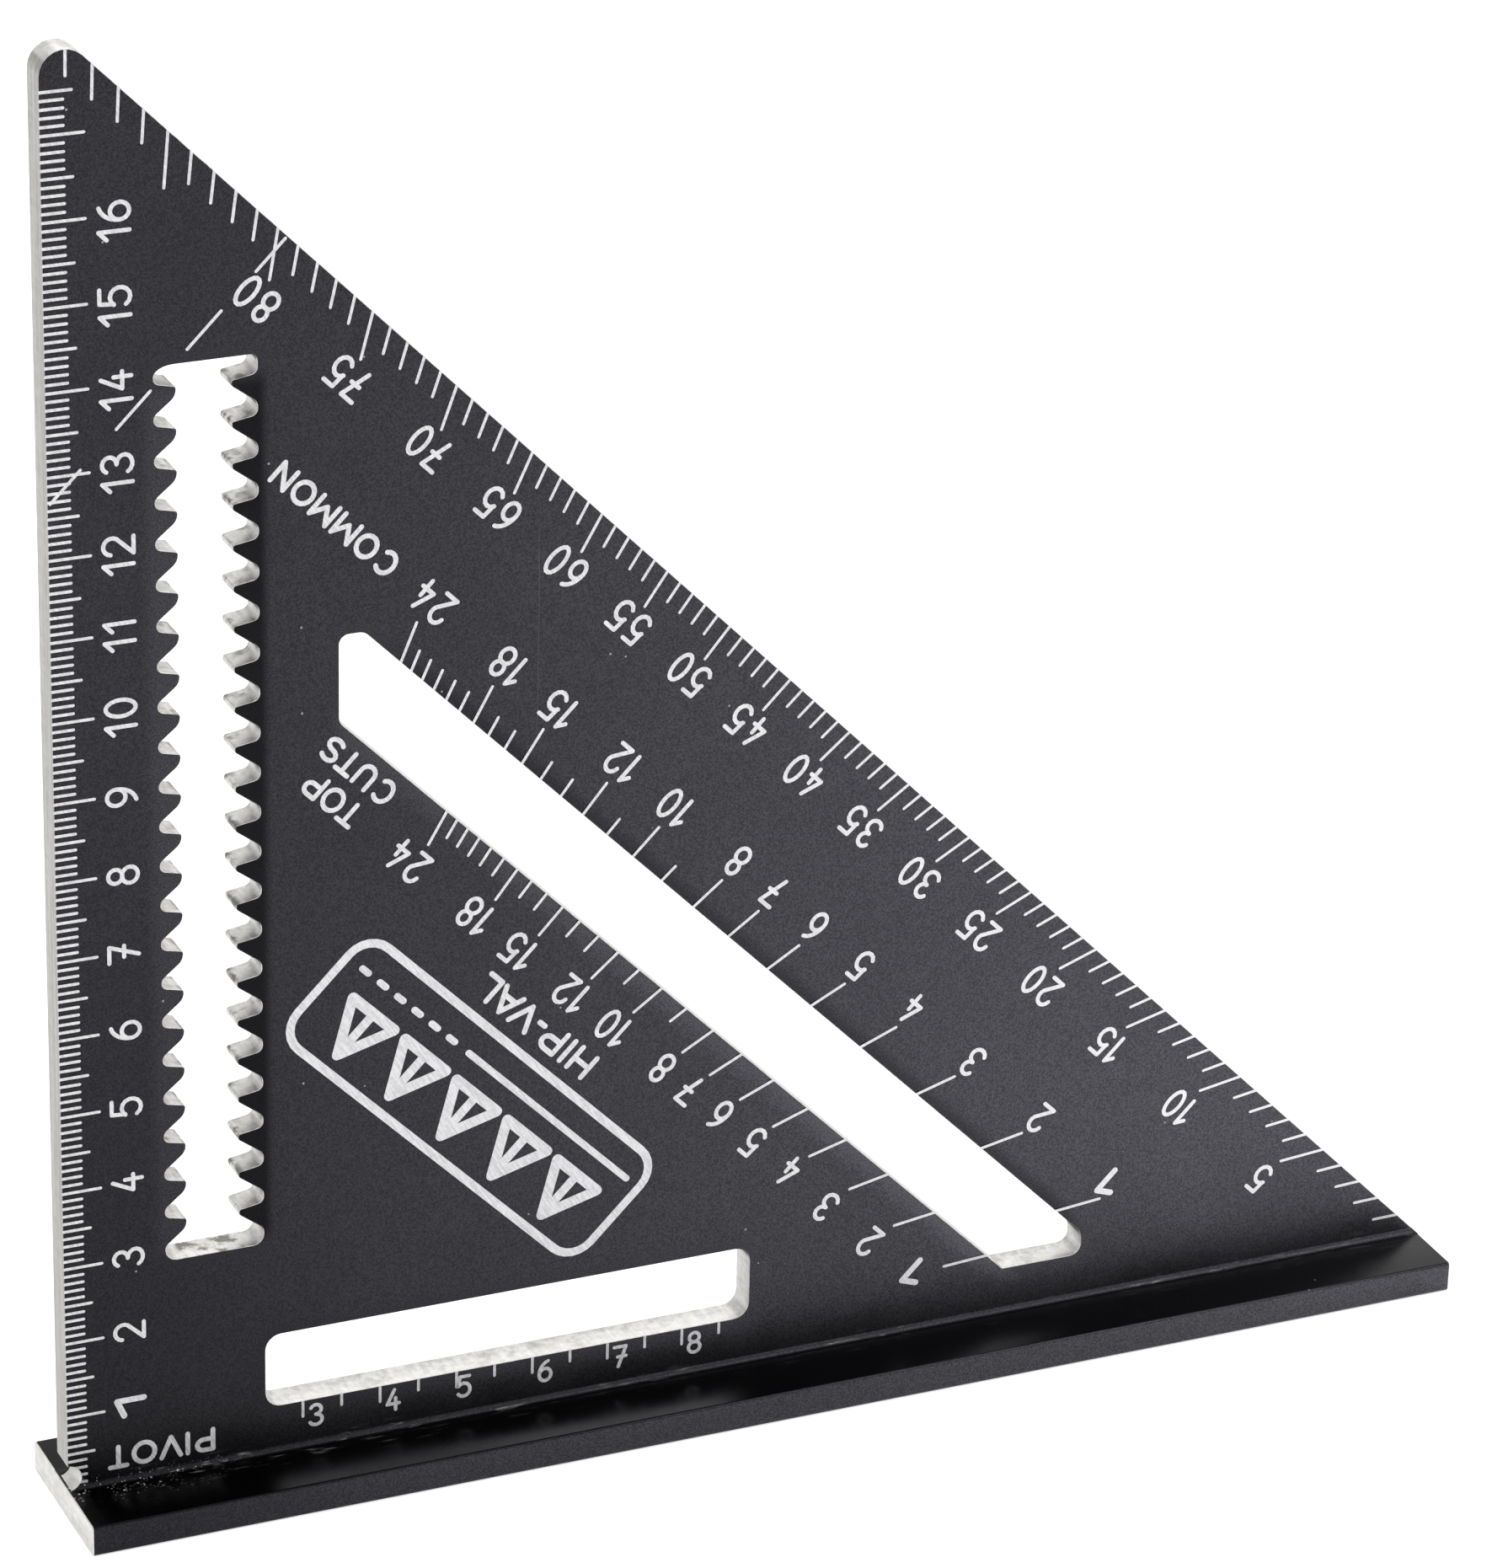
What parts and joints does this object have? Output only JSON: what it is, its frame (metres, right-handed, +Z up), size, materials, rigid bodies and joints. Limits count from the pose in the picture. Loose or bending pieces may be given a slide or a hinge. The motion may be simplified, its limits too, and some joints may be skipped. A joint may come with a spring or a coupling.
{
  "type": "rafter square",
  "caption": "Triangular metal rafter square with a T-shaped fence, toothed scribing slot, diagonal slot, pivot notch and engraved millimetre, degree and rafter scales.",
  "frame": {"origin": "middle of the fence's underside", "axes": "+X along the fence, from the right-angled corner to the acute corner; +Y through the blade, from the marked face to the back; +Z up from the fence along the upright edge"},
  "size_m": [0.1832, 0.0222, 0.1837],
  "materials": {
    "black_anodised": "satin black anodising, with bare metal on the cut edges",
    "bare_marks": "bare milled metal"
  },
  "bodies": {
    "root": {"blade": "black_anodised", "fence": "black_anodised", "edge_scale_lines": "bare_marks", "edge_scale_numbers": "bare_marks", "degree_scale_lines": "bare_marks", "degree_scale_numbers": "bare_marks", "common_scale_lines": "bare_marks", "common_scale_numbers": "bare_marks", "common_label": "bare_marks", "hip_val_scale_lines": "bare_marks", "hip_val_scale_numbers": "bare_marks", "hip_val_label": "bare_marks", "top_cuts_label": "bare_marks", "scribe_scale_lines": "bare_marks", "scribe_scale_numbers": "bare_marks", "pivot_label": "bare_marks", "reference_line": "bare_marks", "badge_border": "bare_marks", "badge_bar": "bare_marks", "badge_roofline": "bare_marks"}
  },
  "joints": []
}
